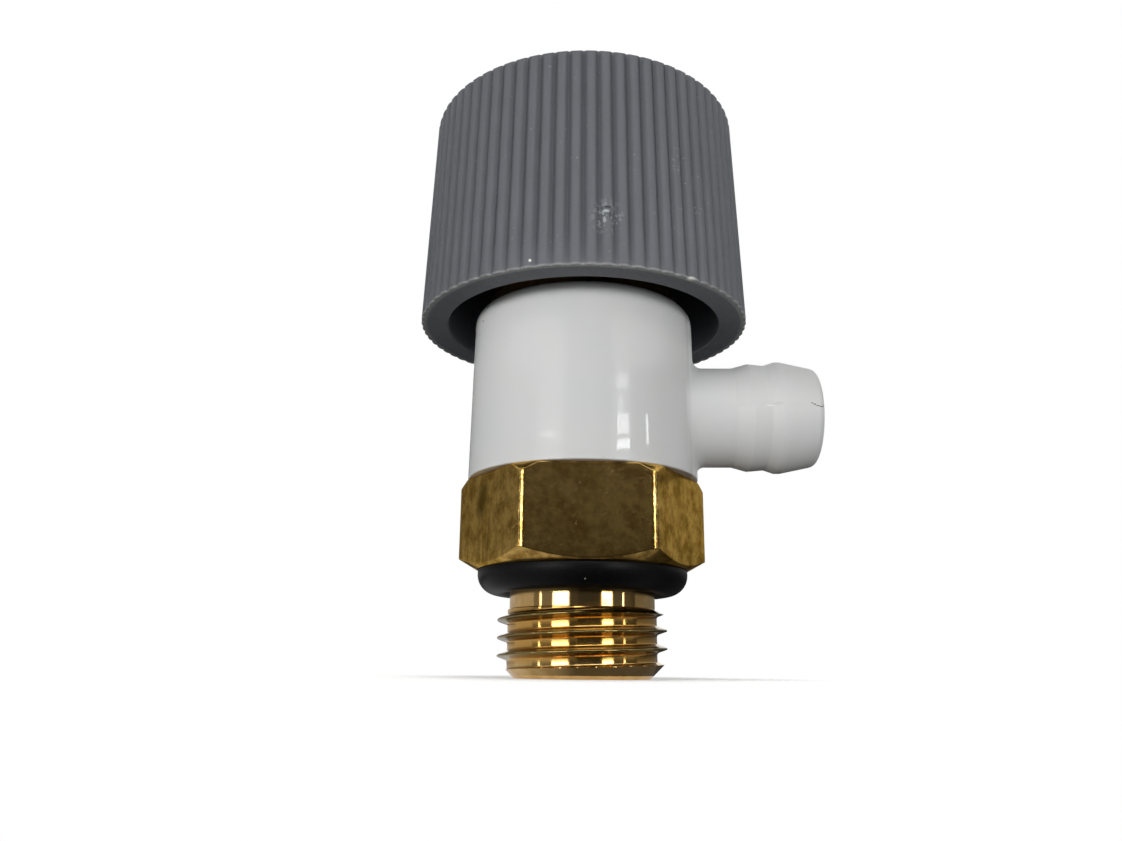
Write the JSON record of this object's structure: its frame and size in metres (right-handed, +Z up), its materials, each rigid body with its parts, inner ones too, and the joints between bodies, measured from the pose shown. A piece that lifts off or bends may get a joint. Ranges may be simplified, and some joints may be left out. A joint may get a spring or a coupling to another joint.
{
  "type": "drain cock",
  "caption": "Drain cock with a brass threaded nipple and spanner hexagon, a white moulded body with a barbed hose tail, and a ribbed grey knob that lifts a washer off its seat.",
  "frame": {"origin": "centre of the port thread's end face", "axes": "+Z up the spindle towards the knob, +X along the hose tail away from the body"},
  "size_m": [0.0323, 0.027, 0.0462],
  "materials": {
    "brass": "machined, worn at the edges",
    "white_plastic": "glossy moulded",
    "grey_plastic": "matte moulded",
    "rubber": "matte",
    "steel": "plain"
  },
  "bodies": {
    "body": {"inlet_nipple": "brass", "port_o_ring": "rubber", "shank_o_ring": "rubber", "valve_body": "white_plastic", "bonnet": "brass", "bonnet_o_ring": "rubber"},
    "jumper": {"jumper": "brass", "jumper_ring": "steel", "seat_washer": "rubber", "washer_screw": "steel"},
    "handle": {"spindle": "brass", "stem_o_ring_lower": "rubber", "stem_o_ring_upper": "rubber", "knob": "grey_plastic", "knob_screw_washer": "steel", "knob_screw": "steel", "knob_cap": "grey_plastic"}
  },
  "joints": [
    {"name": "jumper_lift", "type": "slide", "parent": "body", "child": "jumper", "axis": [0, 0, 1], "range_m": [0, 0.0025]},
    {"name": "knob_turn", "type": "hinge", "parent": "jumper", "child": "handle", "pos_m": [0, 0, 0.028], "axis": [0, 0, 1], "range_deg": [0, 720]}
  ],
  "couplings": [
    {"joint": "jumper_lift", "follows": "knob_turn", "m_per_rad": 0.00019894}
  ]
}
